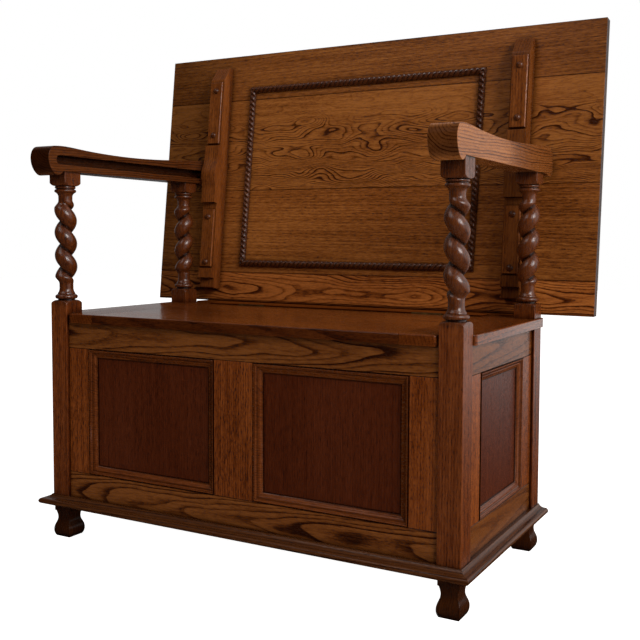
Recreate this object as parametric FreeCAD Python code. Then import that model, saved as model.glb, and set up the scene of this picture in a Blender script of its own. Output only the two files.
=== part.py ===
import FreeCAD, Part
import math
import os

# Oak monks bench: a panelled box seat with a lifting lid, barley-twist posts that
# carry a pair of slotted arms, and a large top that leans back as the bench's back
# and tilts forward on wooden pins to lie on the arms as a table.
# Millimetres, +Z up, +Y towards the back of the bench, X across it.

V = FreeCAD.Vector
os.makedirs("parts", exist_ok=True)

# ---------------------------------------------------------------- dimensions
WIDTH = 840.0            # over the outer faces of the posts
DEPTH = 388.0            # over the front and rear faces of the posts
POST = 40.0              # square section of a post
RECESS = 5.0             # frames sit back from the post faces
FRAME_T = 20.0           # thickness of rails, stiles and muntin

FOOT_H = 65.0
PLINTH_TOP = 82.0
PLINTH_OUT = 20.0        # projection beyond the post faces
RAIL_LOW_TOP = 130.0     # upper edge of the bottom rails
RAIL_TOP_LOW = 366.0     # lower edge of the top rails
SEAT_TOP = 431.0
SEAT_T = 17.0

STILE_FRONT = 50.0
MUNTIN_HALF = 41.0
STILE_SIDE = 49.0
PANEL_T = 6.0
PANEL_SET = 8.0          # panel face behind the frame face
GROOVE = 7.0             # panel edge let into the frame
TENON_L = 18.0
TENON_T = 10.0
MOULD_W = 17.0

SHOULDER_Z = 455.0
TWIST_Z0 = 486.0
TWIST_Z1 = 645.0
TWIST_PITCH = 43.0
TWIST_R = 14.8
TWIST_OFF = 5.7
NECK_R = 12.8
BLOCK_Z0 = 671.0
PUMMEL = 8.5             # fall of the turned shoulder towards the corners of the square
ARM_Z0 = 697.0           # underside of the arms, top of the post blocks

ARM_W = 47.0
PIVOT_Z = 717.5
SLOT_H = 17.0
SLOT_DEEP = 16.0
SLOT_FRONT = -14.0       # centre of the slot's round front end
PIN_D = 16.8

LID_HALF = 314.2
END_IN = 315.0           # inner edge of the fixed seat ends
SEAT_FRONT = -2.4
SEAT_SIDE = 424.5
HINGE_Y = 352.0
HINGE_Z = 431.2
STRIP_TOP = 433.0        # back strip, a little proud of the seat
STRIP_REAR = 446.0       # it runs back under the top's lower edge

TOP_LEAN = 6.27          # degrees
TOP_Y = 414.8            # lower front edge of the top
TOP_Z = 437.4
TOP_FOOT_Z = 434.2       # lower edge of the top, planed level above the back strip
TOP_W = 1022.0
TOP_H = 555.0
TOP_T = 20.0
PLANK_S = [0.0, 62.0, 246.0, 452.0, 555.0]
PIVOT_OUT = 31.8         # pivot axis in front of the top's face

BATTEN_IN = 338.5
BATTEN_OUT = 375.3
ROPE_CORNERS = [(-287.0, 74.5), (272.0, 74.5), (277.5, 480.5), (-285.0, 480.5)]
ROPE_W = 15.0
ROPE_H = 9.0

W2 = WIDTH / 2.0
lean = math.radians(TOP_LEAN)
PIVOT_Y = (TOP_Y + (PIVOT_Z - TOP_Z) * math.tan(lean)) - PIVOT_OUT / math.cos(lean)
PIVOT_S = (PIVOT_Y - TOP_Y) * math.sin(lean) + (PIVOT_Z - TOP_Z) * math.cos(lean)

nodes = {}


# ---------------------------------------------------------------- helpers
def box(x0, x1, y0, y1, z0, z1):
    x0, x1 = min(x0, x1), max(x0, x1)
    return Part.makeBox(x1 - x0, y1 - y0, z1 - z0, V(x0, y0, z0))


def outline(start, segments, to3d):
    """Closed wire: ('l', p), ('a', mid, p) or ('s', [p, ...])."""
    edges = []
    cur = start
    for seg in segments:
        if seg[0] == "l":
            edges.append(Part.makeLine(to3d(cur), to3d(seg[1])))
            cur = seg[1]
        elif seg[0] == "a":
            edges.append(Part.Arc(to3d(cur), to3d(seg[1]), to3d(seg[2])).toShape())
            cur = seg[2]
        else:
            c = Part.BSplineCurve()
            c.interpolate([to3d(cur)] + [to3d(p) for p in seg[1]])
            edges.append(c.toShape())
            cur = seg[1][-1]
    if math.hypot(cur[0] - start[0], cur[1] - start[1]) > 1e-6:
        edges.append(Part.makeLine(to3d(cur), to3d(start)))
    return Part.Wire(edges)


def extrude(start, segments, to3d, vec):
    return Part.Face(outline(start, segments, to3d)).extrude(vec)


def poly(points, to3d, vec):
    return extrude(points[0], [("l", p) for p in points[1:]], to3d, vec)


def turned(start, segments, x, y):
    face = Part.Face(outline(start, segments, lambda p: V(x + p[0], y, p[1])))
    return face.revolve(V(x, y, 0), V(0, 0, 1), 360)


def fuse(shapes):
    out = shapes[0].multiFuse(shapes[1:]) if len(shapes) > 1 else shapes[0]
    return out.removeSplitter()


def group(shapes):
    return Part.makeCompound(shapes)


def mirror_x(shape):
    return shape.mirror(V(0, 0, 0), V(1, 0, 0))


def cylx(x0, x1, y, z, r):
    a, b = min(x0, x1), max(x0, x1)
    return Part.makeCylinder(r, b - a, V(a, y, z), V(1, 0, 0))


# ---------------------------------------------------------------- feet
def foot(x, y):
    side = [("s", [(19.2, 6), (20.0, 13), (18.4, 22), (15.3, 30.5), (14.6, 38), (15.8, 45), (16.8, 49)]),
            ("l", (18.5, 49.8)), ("l", (18.5, FOOT_H)), ("l", (-18.5, FOOT_H)), ("l", (-18.5, 49.8)),
            ("l", (-16.8, 49)),
            ("s", [(-15.8, 45), (-14.6, 38), (-15.3, 30.5), (-18.4, 22), (-20.0, 13), (-19.2, 6), (-16.5, 0)])]
    a = extrude((16.5, 0), side, lambda p: V(x + p[0], y - 25, p[1]), V(0, 50, 0))
    b = extrude((16.5, 0), side, lambda p: V(x - 25, y + p[0], p[1]), V(50, 0, 0))
    spigot = Part.makeCylinder(7.0, 22.0, V(x, y, FOOT_H - 2.0), V(0, 0, 1))
    return a.common(b).fuse(spigot).removeSplitter()


# ---------------------------------------------------------------- posts
def smooth(t):
    t = max(0.0, min(1.0, t))
    return t * t * (3 - 2 * t)


def twist(x, y, hand, phase_deg, phase_z, z0, z1):
    n = 62
    wires = []
    for i in range(n + 1):
        z = z0 + (z1 - z0) * i / n
        edge = min(z - z0, z1 - z)
        e = TWIST_OFF * smooth((edge - 1.0) / 15.0)
        r = NECK_R + (TWIST_R - NECK_R) * smooth(edge / 13.0)
        phi = math.radians(phase_deg) + hand * 2 * math.pi * (z - phase_z) / TWIST_PITCH
        c = Part.makeCircle(r, V(x + e * math.cos(phi), y + e * math.sin(phi), z), V(0, 0, 1))
        wires.append(Part.Wire([c]))
    return Part.makeLoft(wires, True, False)


def post(x, y, hand, phase_deg, phase_z, low_dz, up_dz):
    """low_dz and up_dz shift the lower and upper turnings of this post."""
    h = POST / 2
    z0 = FOOT_H
    sz, bz = SHOULDER_Z + low_dz, BLOCK_Z0 + up_dz
    square = box(x - h, x + h, y - h, y + h, z0, sz)
    square = square.common(turned((0, z0 - 1), [("l", (30, z0 - 1)), ("l", (30, sz - PUMMEL - 2.0)),
                                                ("a", (26.4, sz - 3.6), (18.5, sz)), ("l", (0, sz))], x, y))
    low = turned((0, sz),
                 [("l", (15.5, sz)), ("l", (15.5, sz + 2.2)), ("l", (17.8, sz + 2.6)),
                  ("a", (20.6, sz + 6.6), (17.8, sz + 10.6)), ("l", (16.2, sz + 11.2)), ("l", (16.2, sz + 12.8)),
                  ("a", (13.9, sz + 17.0), (NECK_R, sz + 23.0)), ("l", (NECK_R, TWIST_Z0 + low_dz)),
                  ("l", (0, TWIST_Z0 + low_dz))], x, y)
    up = turned((0, TWIST_Z1 + up_dz),
                [("l", (NECK_R, TWIST_Z1 + up_dz)), ("l", (NECK_R, bz - 21.0)), ("a", (13.9, bz - 16.0), (17.0, bz - 12.4)),
                 ("l", (17.8, bz - 12.2)), ("a", (19.8, bz - 9.3), (17.8, bz - 6.4)), ("l", (16.6, bz - 6.2)),
                 ("l", (16.6, bz - 5.0)), ("l", (17.6, bz - 4.8)), ("a", (18.9, bz - 2.6), (17.6, bz - 0.4)),
                 ("l", (16.6, bz - 0.2)), ("l", (16.6, bz)), ("l", (0, bz))], x, y)
    block = box(x - h, x + h, y - h, y + h, bz, ARM_Z0)
    block = block.common(turned((0, ARM_Z0 + 1), [("l", (30, ARM_Z0 + 1)), ("l", (30, bz + PUMMEL + 2.0)),
                                                  ("a", (26.4, bz + 3.6), (18.5, bz)), ("l", (0, bz))], x, y))
    tenon = Part.makeCylinder(6.5, 16.0, V(x, y, ARM_Z0 - 2.0), V(0, 0, 1))
    body = fuse([square, low, twist(x, y, hand, phase_deg, phase_z, TWIST_Z0 + low_dz, TWIST_Z1 + up_dz), up, block, tenon])
    spigot = Part.makeCylinder(7.0, 22.0, V(x, y, FOOT_H - 2.0), V(0, 0, 1))
    return body.cut(spigot)


CX = W2 - POST / 2
CYF = POST / 2
CYR = DEPTH - POST / 2
posts = {
    "front_left_post": post(-CX, CYF, -1, 226, 627.0, 0.0, 0.0),
    "front_right_post": post(CX, CYF, -1, 202, 607.6, -3.0, -6.5),
    "rear_left_post": post(-CX, CYR, 1, 219, 632.5, 6.5, 4.0),
    "rear_right_post": post(CX, CYR, 1, 17.6, 620.0, 4.0, 4.0),
}
nodes["front_left_foot"] = foot(-CX, CYF)
nodes["front_right_foot"] = foot(CX, CYF)
nodes["rear_left_foot"] = foot(-CX, CYR)
nodes["rear_right_foot"] = foot(CX, CYR)

# ---------------------------------------------------------------- plinth moulding
plinth_segs = [("l", (15.0, FOOT_H)), ("a", (PLINTH_OUT, 70.2), (15.2, 75.4)), ("l", (13.4, 75.6)),
               ("a", (6.2, 77.3), (2.4, PLINTH_TOP - 0.6)), ("l", (2.4, PLINTH_TOP)), ("l", (0, PLINTH_TOP))]
XO = W2 + PLINTH_OUT
inner = W2 - POST
strip = extrude((0, FOOT_H), plinth_segs, lambda p: V(-XO, -p[0], p[1]), V(2 * XO, 0, 0))
plan = poly([(-XO, -PLINTH_OUT), (XO, -PLINTH_OUT), (W2, 0), (-W2, 0)], lambda p: V(p[0], p[1], 60), V(0, 0, 30))
nodes["plinth_front"] = fuse([strip.common(plan), box(-inner, inner, 0, RECESS, FOOT_H, PLINTH_TOP)])
strip = extrude((0, FOOT_H), plinth_segs, lambda p: V(W2 + p[0], -PLINTH_OUT, p[1]), V(0, DEPTH + PLINTH_OUT, 0))
plan = poly([(W2, 0), (XO, -PLINTH_OUT), (XO, DEPTH), (W2, DEPTH)], lambda p: V(p[0], p[1], 60), V(0, 0, 30))
side = fuse([strip.common(plan), box(W2 - RECESS, W2, POST, DEPTH - POST, FOOT_H, PLINTH_TOP)])
nodes["plinth_right"] = side
nodes["plinth_left"] = mirror_x(side)

# ---------------------------------------------------------------- panelled frames
SEAT_UNDER = SEAT_TOP - SEAT_T


def strips(p0, p1, q0, q1):
    """Four mitred moulding lengths round an opening, in the plane (p, q), height v."""
    prof = [("l", (0, 8.0)), ("a", (1.7, 9.2), (3.3, 8.0)), ("l", (3.6, 7.0)),
            ("a", (7.4, 6.0), (9.6, 4.4)), ("a", (11.6, 2.9), (14.2, 2.6)), ("l", (14.4, 1.5)),
            ("l", (MOULD_W, 1.2)), ("l", (MOULD_W, 0))]
    out = []
    for ox, oy, ang, length in ((p0, q0, 0, p1 - p0), (p1, q0, 90, q1 - q0),
                                (p1, q1, 180, p1 - p0), (p0, q1, 270, q1 - q0)):
        bar = extrude((0, 0), prof, lambda p: V(0, p[0], p[1]), V(length, 0, 0))
        trap = poly([(0, 0), (length, 0), (length - MOULD_W, MOULD_W), (MOULD_W, MOULD_W)],
                    lambda p: V(p[0], p[1], -1), V(0, 0, 14))
        s = bar.common(trap)
        s.Placement = FreeCAD.Placement(V(ox, oy, 0), FreeCAD.Rotation(V(0, 0, 1), ang))
        out.append(s)
    return out


def to_front(shape, yface):
    m = FreeCAD.Matrix(1, 0, 0, 0,
                       0, 0, -1, yface,
                       0, 1, 0, 0,
                       0, 0, 0, 1)
    c = shape.copy()
    c.Placement = FreeCAD.Placement(m).multiply(shape.Placement)
    return c


def to_right(shape, xface):
    m = FreeCAD.Matrix(0, 0, 1, xface,
                       1, 0, 0, 0,
                       0, 1, 0, 0,
                       0, 0, 0, 1)
    c = shape.copy()
    c.Placement = FreeCAD.Placement(m).multiply(shape.Placement)
    return c


# front frame: rails run post to post, stiles and muntin stand between them
fy0, fy1 = RECESS, RECESS + FRAME_T
py0, py1 = fy0 + PANEL_SET, fy0 + PANEL_SET + PANEL_T
ty0, ty1 = fy0 + 6.0, fy0 + 6.0 + TENON_T
openings_x = [(-inner + STILE_FRONT, -MUNTIN_HALF), (MUNTIN_HALF, inner - STILE_FRONT)]
front_panels = [box(a - GROOVE, b + GROOVE, py0, py1, RAIL_LOW_TOP - GROOVE, RAIL_TOP_LOW + GROOVE)
                for a, b in openings_x]


def upright_front(a, b, cut_left, cut_right):
    """A stile or muntin with stub tenons that fill the rail grooves."""
    ta = a + (GROOVE if cut_left else 0)
    tb = b - (GROOVE if cut_right else 0)
    return fuse([box(a, b, fy0, fy1, RAIL_LOW_TOP, RAIL_TOP_LOW),
                 box(ta, tb, py0, py1, RAIL_LOW_TOP - GROOVE, RAIL_TOP_LOW + GROOVE)])


front_uprights = {
    "front_left_stile": upright_front(-inner, -inner + STILE_FRONT, False, True),
    "front_muntin": upright_front(-MUNTIN_HALF, MUNTIN_HALF, True, True),
    "front_right_stile": upright_front(inner - STILE_FRONT, inner, True, False),
}
rails = {
    "front_bottom_rail": fuse([box(-inner, inner, fy0, fy1, FOOT_H, RAIL_LOW_TOP),
                               box(-inner - TENON_L, inner + TENON_L, ty0, ty1, FOOT_H + 22, RAIL_LOW_TOP - 12)]),
    "front_top_rail": fuse([box(-inner, inner, fy0, fy1, RAIL_TOP_LOW, SEAT_UNDER),
                            box(-inner - TENON_L, inner + TENON_L, ty0, ty1, RAIL_TOP_LOW + 9, SEAT_UNDER - 9)]),
}
for name, r in rails.items():
    nodes[name] = r.cut(front_panels + list(front_uprights.values()))
for name, u in front_uprights.items():
    nodes[name] = u.cut(front_panels)
nodes["front_left_panel"], nodes["front_right_panel"] = front_panels
for name, (a, b) in zip(("front_left_moulding", "front_right_moulding"), openings_x):
    nodes[name] = group([to_front(s, py0) for s in strips(a, b, RAIL_LOW_TOP, RAIL_TOP_LOW)])

# side frames: the right one is drawn, the left one mirrors it
sx1, sx0 = W2 - RECESS, W2 - RECESS - FRAME_T
px1, px0 = sx1 - PANEL_SET, sx1 - PANEL_SET - PANEL_T
tx1, tx0 = sx1 - 6.0, sx1 - 6.0 - TENON_T
ya, yb = POST, DEPTH - POST
oa, ob = ya + STILE_SIDE, yb - STILE_SIDE
side_panel = box(px0, px1, oa - GROOVE, ob + GROOVE, RAIL_LOW_TOP - GROOVE, RAIL_TOP_LOW + GROOVE)
side_up = {
    "front_stile": fuse([box(sx0, sx1, ya, oa, RAIL_LOW_TOP, RAIL_TOP_LOW),
                         box(px0, px1, ya, oa - GROOVE, RAIL_LOW_TOP - GROOVE, RAIL_TOP_LOW + GROOVE)]),
    "rear_stile": fuse([box(sx0, sx1, ob, yb, RAIL_LOW_TOP, RAIL_TOP_LOW),
                        box(px0, px1, ob + GROOVE, yb, RAIL_LOW_TOP - GROOVE, RAIL_TOP_LOW + GROOVE)]),
}
side_rails = {
    "bottom_rail": fuse([box(sx0, sx1, ya, yb, FOOT_H, RAIL_LOW_TOP),
                         box(tx0, tx1, ya - TENON_L, yb + TENON_L, FOOT_H + 22, RAIL_LOW_TOP - 12)]),
    "top_rail": fuse([box(sx0, sx1, ya, yb, RAIL_TOP_LOW, SEAT_UNDER),
                      box(tx0, tx1, ya - TENON_L, yb + TENON_L, RAIL_TOP_LOW + 9, SEAT_UNDER - 9)]),
}
right = {}
for name, r in side_rails.items():
    right[name] = r.cut([side_panel] + list(side_up.values()))
for name, u in side_up.items():
    right[name] = u.cut(side_panel)
right["panel"] = side_panel
right["moulding"] = group([to_right(s, px1) for s in strips(oa, ob, RAIL_LOW_TOP, RAIL_TOP_LOW)])
for name, s in right.items():
    nodes["right_" + name] = s
    nodes["left_" + name] = group([mirror_x(k) for k in s.Solids]) if name == "moulding" else mirror_x(s)

# back frame: two rails and one plain panel
by1, by0 = DEPTH - RECESS, DEPTH - RECESS - FRAME_T
bty0, bty1 = by1 - 6.0 - TENON_T, by1 - 6.0
back_panel = box(-inner, inner, by1 - 12.0, by1 - 6.0, RAIL_LOW_TOP - GROOVE, RAIL_TOP_LOW + GROOVE)
nodes["back_panel"] = back_panel
nodes["back_bottom_rail"] = fuse([box(-inner, inner, by0, by1, FOOT_H, RAIL_LOW_TOP),
                                  box(-inner - TENON_L, inner + TENON_L, bty0, bty1, FOOT_H + 22,
                                      RAIL_LOW_TOP - 12)]).cut(back_panel)
nodes["back_top_rail"] = fuse([box(-inner, inner, by0, by1, RAIL_TOP_LOW, SEAT_UNDER),
                               box(-inner - TENON_L, inner + TENON_L, bty0, bty1, RAIL_TOP_LOW + 9,
                                   SEAT_UNDER - 9)]).cut(back_panel)

tenons = [nodes[n] for n in ("front_bottom_rail", "front_top_rail", "back_bottom_rail", "back_top_rail",
                             "left_bottom_rail", "left_top_rail", "right_bottom_rail", "right_top_rail")]
for name, p in posts.items():
    nodes[name] = p.cut(tenons)

# chest floor on ledges
ledge = 16.0
FLOOR_Z = 95.0
nodes["floor_bearers"] = group([box(-inner + 2, inner - 2, fy1, fy1 + ledge, FLOOR_Z - ledge, FLOOR_Z),
                                box(-inner + 2, inner - 2, by0 - ledge, by0, FLOOR_Z - ledge, FLOOR_Z)])
floor = box(-sx0 + 0.5, sx0 - 0.5, fy1 + 0.5, by0 - 0.5, FLOOR_Z, FLOOR_Z + 9.0)
corners = [box(sgn * (inner - 0.5), sgn * W2, a, b, FLOOR_Z - 5, FLOOR_Z + 20)
           for sgn in (-1, 1) for a, b in ((0, POST + 0.5), (DEPTH - POST - 0.5, DEPTH))]
nodes["chest_floor"] = floor.cut(corners)

# ---------------------------------------------------------------- seat
# fixed end, notched round the front and rear posts, with rounded ears
rr = 13.0
k = rr * (1 - math.sqrt(0.5))
ear = POST + 0.2
xi = W2 - POST - 0.2
plan_end = [("l", (xi - 1.6 - rr, SEAT_FRONT)), ("a", (xi - 1.6 - k, SEAT_FRONT + k), (xi - 1.6, SEAT_FRONT + rr)),
            ("l", (xi, SEAT_FRONT + rr + 3)), ("l", (xi, ear)), ("l", (W2 - 1.0, ear)),
            ("l", (SEAT_SIDE - 4.2, ear)), ("a", (SEAT_SIDE - 1.0, ear + 3.2), (SEAT_SIDE, ear + 9.0)),
            ("l", (SEAT_SIDE, DEPTH - 3)), ("a", (SEAT_SIDE - 0.9, DEPTH - 0.9), (SEAT_SIDE - 3, DEPTH)),
            ("l", (W2 + 0.2, DEPTH)), ("l", (W2 + 0.2, DEPTH - POST - 0.2)), ("l", (xi, DEPTH - POST - 0.2)),
            ("l", (xi, DEPTH)), ("l", (END_IN, DEPTH))]
end = extrude((END_IN, SEAT_FRONT), plan_end, lambda p: V(p[0], p[1], SEAT_UNDER), V(0, 0, SEAT_T))
nodes["seat_right_end"] = end
nodes["seat_left_end"] = mirror_x(end)

lid = box(-LID_HALF, LID_HALF, SEAT_FRONT, HINGE_Y - 0.6, SEAT_UNDER, SEAT_TOP)
SEAT_ROUND = 3.0         # softened upper front arris of the lid
lid = lid.makeFillet(SEAT_ROUND, [e for e in lid.Edges if abs(e.BoundBox.ZMin - SEAT_TOP) < 1e-6
                                  and abs(e.BoundBox.YMax - SEAT_FRONT) < 1e-6])
back_strip = fuse([box(-END_IN, END_IN, HINGE_Y + 0.6, STRIP_REAR, SEAT_UNDER, STRIP_TOP),
                   box(-inner, inner, DEPTH + 0.2, STRIP_REAR, SEAT_UNDER, STRIP_TOP)])
cleats = [box(x - 22, x + 22, 50, 318, SEAT_UNDER - 19, SEAT_UNDER) for x in (-215, 215)]

# two butt hinges let into the joint between lid and back strip
KR = 2.3
leaf_l = 64.0
seg = leaf_l / 5.0
gap = 0.3
fixed_leaves, lid_leaves, pins, fixed_screws, lid_screws = [], [], [], [], []
lid_cut, strip_cut = [], []
for hx in (-205.0, 205.0):
    x0 = hx - leaf_l / 2
    a = box(x0, x0 + leaf_l, HINGE_Y - 2.1, HINGE_Y - 0.1, SEAT_UNDER + 2.0, HINGE_Z)
    b = box(x0, x0 + leaf_l, HINGE_Y + 0.1, HINGE_Y + 2.1, SEAT_UNDER + 2.0, HINGE_Z)
    bore = cylx(x0 - 1, x0 + leaf_l + 1, HINGE_Y, HINGE_Z, 1.05)
    for i in range(5):
        own_a = cylx(x0 + i * seg + (gap if i else 0), x0 + (i + 1) * seg - (gap if i < 4 else 0), HINGE_Y, HINGE_Z, KR)
        room = cylx(x0 + i * seg - gap, x0 + (i + 1) * seg + gap, HINGE_Y, HINGE_Z, KR + 0.35)
        if i % 2:
            b = b.cut(room)
            a = a.fuse(own_a)
        else:
            a = a.cut(room)
            b = b.fuse(own_a)
    a = a.cut(bore)
    b = b.cut(bore)
    pin = cylx(x0, x0 + leaf_l, HINGE_Y, HINGE_Z, 1.0)
    for sx in (-22.0, 0.0, 22.0):
        for sgn, leaf in ((-1, "lid"), (1, "fix")):
            yh = HINGE_Y + sgn * 0.1
            head = Part.makeCone(2.9, 1.5, 2.0, V(hx + sx, yh, SEAT_UNDER + 8.0), V(0, sgn, 0))
            shank = Part.makeCylinder(1.5, 14.0, V(hx + sx, yh + sgn * 2.0, SEAT_UNDER + 8.0), V(0, sgn, 0))
            s = head.fuse(shank).removeSplitter()
            if leaf == "lid":
                a = a.cut(s)
                lid_screws.append(s)
            else:
                b = b.cut(s)
                fixed_screws.append(s)
    lid_leaves.append(a)
    fixed_leaves.append(b)
    pins.append(pin)
    notch = box(x0 - 0.4, x0 + leaf_l + 0.4, HINGE_Y - KR - 0.5, HINGE_Y + KR + 0.5, HINGE_Z - KR - 0.5, STRIP_TOP + 1)
    lid_cut += [notch, box(x0, x0 + leaf_l, HINGE_Y - 2.1, HINGE_Y, SEAT_UNDER + 2.0, STRIP_TOP + 1)]
    strip_cut += [notch, box(x0, x0 + leaf_l, HINGE_Y, HINGE_Y + 2.1, SEAT_UNDER + 2.0, STRIP_TOP + 1)]
nodes["seat_lid"] = lid.cut(lid_cut + lid_screws)
nodes["seat_back_strip"] = back_strip.cut(strip_cut + fixed_screws)
nodes["lid_cleats"] = group(cleats)
nodes["lid_hinge_fixed_leaves"] = group(fixed_leaves)
nodes["lid_hinge_lid_leaves"] = group(lid_leaves)
nodes["lid_hinge_pins"] = group(pins)
nodes["lid_hinge_fixed_screws"] = group(fixed_screws)
nodes["lid_hinge_lid_screws"] = group(lid_screws)

# ---------------------------------------------------------------- arms
arm_segs = [("s", [(-8, 743.2), (40, 740.6), (100, 737.6), (160, 736.6), (220, 737.6), (290, 741.0), (350, 745.0),
                   (403, 748.4)]),
            ("a", (428.5, 738.5), (437.0, 717.5)),
            ("a", (433.5, 703.0), (424.0, 693.5)),
            ("l", (408.0, 693.5)), ("a", (403.5, 694.8), (401.0, 697.0)),
            ("l", (-6.0, 697.0)), ("a", (-9.5, 693.0), (-15.5, 689.6)),
            ("s", [(-22.5, 689.6), (-31.0, 695.0), (-38.2, 705.6), (-41.0395, 716.5), (-40.3, 727.5), (-36.0, 736.4), (-27, 742.2)])]
ax0 = CX - ARM_W / 2
arm = extrude((-27, 742.2), arm_segs, lambda p: V(ax0, p[0], p[1]), V(ARM_W, 0, 0))
slot = fuse([box(ax0 - 1, ax0 + SLOT_DEEP, SLOT_FRONT, PIVOT_Y, PIVOT_Z - SLOT_H / 2, PIVOT_Z + SLOT_H / 2),
             cylx(ax0 - 1, ax0 + SLOT_DEEP, SLOT_FRONT, PIVOT_Z, SLOT_H / 2),
             cylx(ax0 - 1, ax0 + SLOT_DEEP, PIVOT_Y, PIVOT_Z, SLOT_H / 2)])
arm = arm.cut(slot)
nodes["right_arm"] = arm.cut([posts["front_right_post"], posts["rear_right_post"]])
nodes["left_arm"] = mirror_x(arm).cut([posts["front_left_post"], posts["rear_left_post"]])


# ---------------------------------------------------------------- top, drawn upright in its own plane
# X across, Z up the top (s), Y from its front face towards its back (t)
planks = [box(-TOP_W / 2, TOP_W / 2, 0, TOP_T, PLANK_S[i], PLANK_S[i + 1]) for i in range(1, 4)]
foot_s = [(TOP_FOOT_Z - TOP_Z + t * math.sin(lean)) / math.cos(lean) for t in (0.0, TOP_T)]
planks.insert(0, poly([(0.0, foot_s[0]), (TOP_T, foot_s[1]), (TOP_T, PLANK_S[1]), (0.0, PLANK_S[1])],
                      lambda p: V(-TOP_W / 2, p[0], p[1]), V(TOP_W, 0, 0)))

batten_side = [("l", (-20.0, 23.0)), ("a", (-22.8, 23.8), (-24.0, 26.0)), ("l", (-24.0, 45.0)), ("l", (-33.0, 46.0)),
               ("l", (-33.0, 67.0)), ("l", (-30.0, 68.5)), ("l", (-30.0, 202.0)), ("l", (-30.0, 214.0)),
               ("l", (-39.0, 215.5)), ("l", (-39.5, 243.0)), ("a", (-39.9, 251.0), (-41.5, 258.0)),
               ("a", (-46.2, PIVOT_S), (-41.5, 2 * PIVOT_S - 258.0)), ("a", (-39.2, 307.0), (-37.5, 318.0)),
               ("l", (-37.0, 344.0)), ("l", (-30.0, 346.0)), ("l", (-30.0, 494.0)), ("l", (-28.0, 497.0)),
               ("a", (-19.0, 512.0), (-11.0, 526.0)), ("l", (0.0, 527.0)), ("l", (0.0, 23.0))]
batten = extrude((0.0, 23.0), batten_side, lambda p: V(BATTEN_IN, p[0], p[1]), V(BATTEN_OUT - BATTEN_IN, 0, 0))
slip_in, slip_out = BATTEN_IN + 2.5, BATTEN_OUT - 2.5
slip_spans = [(70.5, 200.0), (348.5, 488.0)]
slips = []
for s0, s1 in slip_spans:
    s = box(slip_in, slip_out, -35.0, -30.0, s0, s1)
    s = s.makeChamfer(1.2, [e for e in s.Edges if abs(e.BoundBox.YMax + 35.0) < 1e-6])
    slips.append(s)
peg_x = (BATTEN_IN + BATTEN_OUT) / 2
PEG_R, PEG_DOME = 6.8, 5.2
PEG_BALL = (PEG_R ** 2 + PEG_DOME ** 2) / (2 * PEG_DOME)
pegs = []
for s in (81.0, 183.0, 367.5, 468.5):
    ball = Part.makeSphere(PEG_BALL, V(peg_x, -35.0 - PEG_DOME + PEG_BALL, s))
    head = ball.common(Part.makeBox(20.0, 20.0, 20.0, V(peg_x - 10.0, -55.0, s - 10.0)))
    shank = Part.makeCylinder(4.5, 35.0 + 12.0, V(peg_x, -35.0, s), V(0, 1, 0))
    pegs.append(head.fuse(shank).removeSplitter())
pin = cylx(BATTEN_IN + 9.0, ax0 + SLOT_DEEP - 1.0, -PIVOT_OUT, PIVOT_S, PIN_D / 2)
pin = pin.makeChamfer(1.0, [e for e in pin.Edges if abs(e.BoundBox.XMin - (ax0 + SLOT_DEEP - 1.0)) < 1e-6])
batten = batten.cut(pegs + [pin])
slips = [s.cut(pegs) for s in slips]

both_pegs = pegs + [mirror_x(p) for p in pegs]
planks = [p.cut(both_pegs) for p in planks]


def rope(a, b, a_in, b_in):
    """One mitred length of the rope moulding: a half-round bar lying on the top."""
    half = ROPE_W / 2
    ux, uz = b[0] - a[0], b[1] - a[1]
    length = math.hypot(ux, uz)
    ux, uz = ux / length, uz / length
    nx, nz = -uz, ux
    at = lambda u, v, h: V(a[0] + u * ux + v * nx, h, a[1] + u * uz + v * nz)
    face = Part.Face(outline((0, 0), [("l", (0.6, -1.4)), ("a", (half, -ROPE_H), (ROPE_W - 0.6, -1.4)), ("l", (ROPE_W, 0))],
                             lambda p: at(-5.0, p[0], p[1])))
    bar = face.extrude(V(ux, 0, uz) * (length + 10.0))
    trap = poly([a, b, b_in, a_in], lambda p: V(p[0], -12, p[1]), V(0, 14, 0))
    return bar.common(trap)


def inset(corners, d):
    """The corners of a polygon drawn round inside another at distance d."""
    out = []
    n = len(corners)
    for i in range(n):
        p, c, q = corners[i - 1], corners[i], corners[(i + 1) % n]
        u = (c[0] - p[0], c[1] - p[1])
        w = (q[0] - c[0], q[1] - c[1])
        lu, lw = math.hypot(*u), math.hypot(*w)
        u, w = (u[0] / lu, u[1] / lu), (w[0] / lw, w[1] / lw)
        cross = u[0] * w[1] - u[1] * w[0]
        k = d / cross
        out.append((c[0] + k * (w[0] - u[0]), c[1] + k * (w[1] - u[1])))
    return out


rope_in = inset(ROPE_CORNERS, ROPE_W)
ropes = [rope(ROPE_CORNERS[i], ROPE_CORNERS[(i + 1) % 4], rope_in[i], rope_in[(i + 1) % 4]) for i in range(4)]

top_place = FreeCAD.Placement(V(0, TOP_Y, TOP_Z), FreeCAD.Rotation(V(1, 0, 0), -TOP_LEAN))


def lay(shape):
    c = shape.copy()
    c.Placement = top_place.multiply(shape.Placement)
    return c


for name, p in zip(("top_plank_lower", "top_plank_lower_middle", "top_plank_upper_middle", "top_plank_upper"), planks):
    nodes[name] = lay(p)
nodes["right_batten"] = lay(batten)
nodes["left_batten"] = lay(mirror_x(batten))
nodes["batten_slips"] = group([lay(s) for s in slips] + [lay(mirror_x(s)) for s in slips])
nodes["batten_pegs"] = group([lay(p) for p in both_pegs])
nodes["pivot_pins"] = group([lay(pin), lay(mirror_x(pin))])
nodes["rope_moulding"] = group([lay(r) for r in ropes])

# ---------------------------------------------------------------- origin at the middle of the box, on the floor
boxes = [s.optimalBoundingBox() for s in nodes.values()]
y_mid = (min(b.YMin for b in boxes) + max(b.YMax for b in boxes)) / 2
for name, s in sorted(nodes.items()):
    c = s.copy()
    c.translate(V(0, -y_mid, 0))
    c.exportStep("parts/" + name + ".step")

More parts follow.
